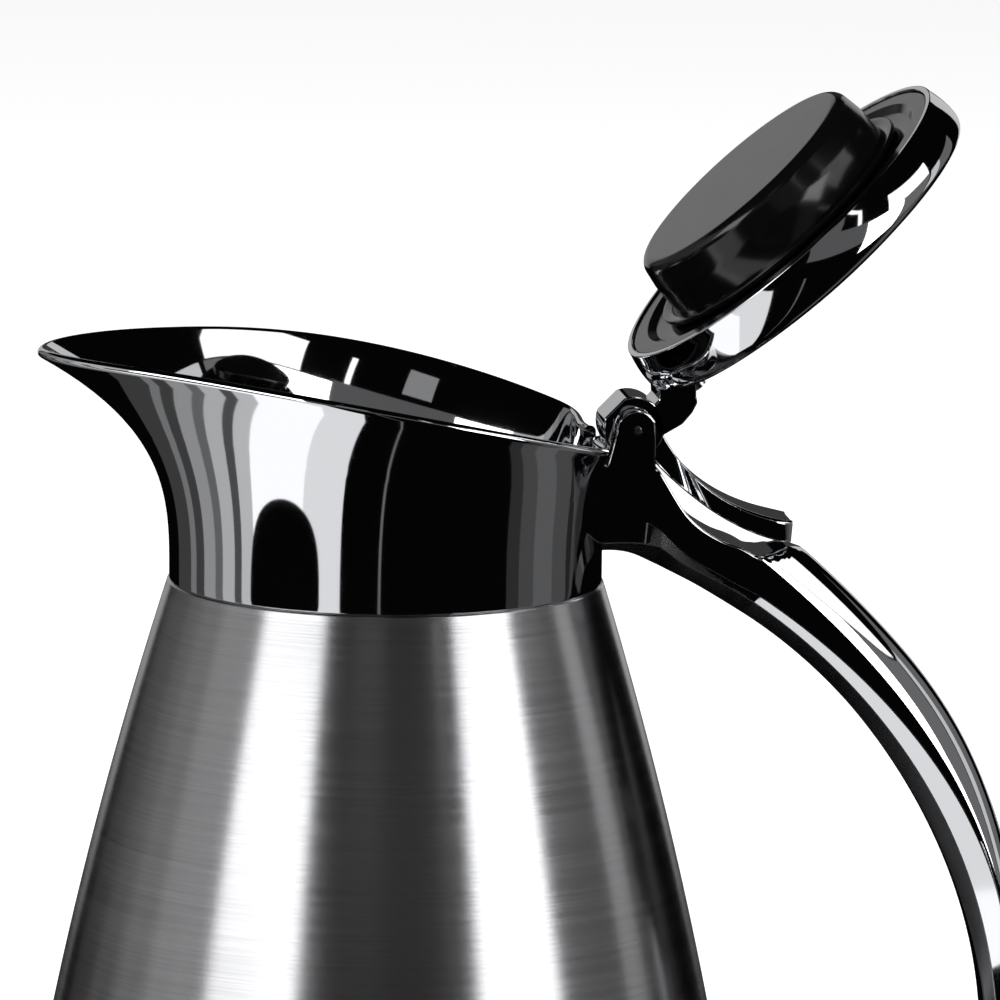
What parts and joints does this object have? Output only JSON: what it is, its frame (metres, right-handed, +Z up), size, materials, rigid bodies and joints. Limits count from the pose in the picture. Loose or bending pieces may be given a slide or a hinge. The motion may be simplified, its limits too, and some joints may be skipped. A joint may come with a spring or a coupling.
{
  "type": "vacuum coffee pot",
  "caption": "Tapered brushed steel vacuum coffee pot with a polished flared spout collar, C-shaped cast handle and domed lid that opens by a thumb lever.",
  "frame": {"origin": "centre of the flat underside on which the pot stands", "axes": "+Z up along the body's axis; +X towards the handle, so the spout points to -X; +Y across, along the hinge pin"},
  "size_m": [0.2089, 0.1532, 0.2559],
  "materials": {
    "brushed_shell": "brushed",
    "inner_steel": "satin",
    "collar_chrome": "polished",
    "handle_chrome": "polished",
    "lever_chrome": "polished",
    "lid_chrome": "polished",
    "pin_steel": "polished",
    "screw_steel": "satin",
    "black_moulding": "gloss",
    "base_plastic": "matte",
    "ring_plastic": "matte",
    "bush_plastic": "matte",
    "soft_black": "matte",
    "foam": "matte"
  },
  "bodies": {
    "pot": {"outer_shell": "brushed_shell", "inner_liner": "inner_steel", "outer_bottom": "inner_steel", "getter_cap": "inner_steel", "base_cover": "base_plastic", "base_pad": "soft_black", "spout_collar": "collar_chrome", "neck_ring": "ring_plastic", "neck_gasket": "soft_black", "handle": "handle_chrome", "collar_screws": "screw_steel", "lower_bracket": "handle_chrome", "lower_screw": "screw_steel", "hinge_pin": "pin_steel", "hinge_bushes": "bush_plastic"},
    "lid": {"thumb_lever": "lever_chrome", "lid_dome": "lid_chrome", "lid_dish": "black_moulding", "lid_plug": "black_moulding", "plug_foam": "foam", "lid_seal": "soft_black", "lid_screws": "screw_steel"}
  },
  "joints": [
    {"name": "lid_hinge", "type": "hinge", "parent": "pot", "child": "lid", "pos_m": [0.0488, 0, 0.1889], "axis": [0, 1, 0], "range_deg": [-138, 0]}
  ]
}
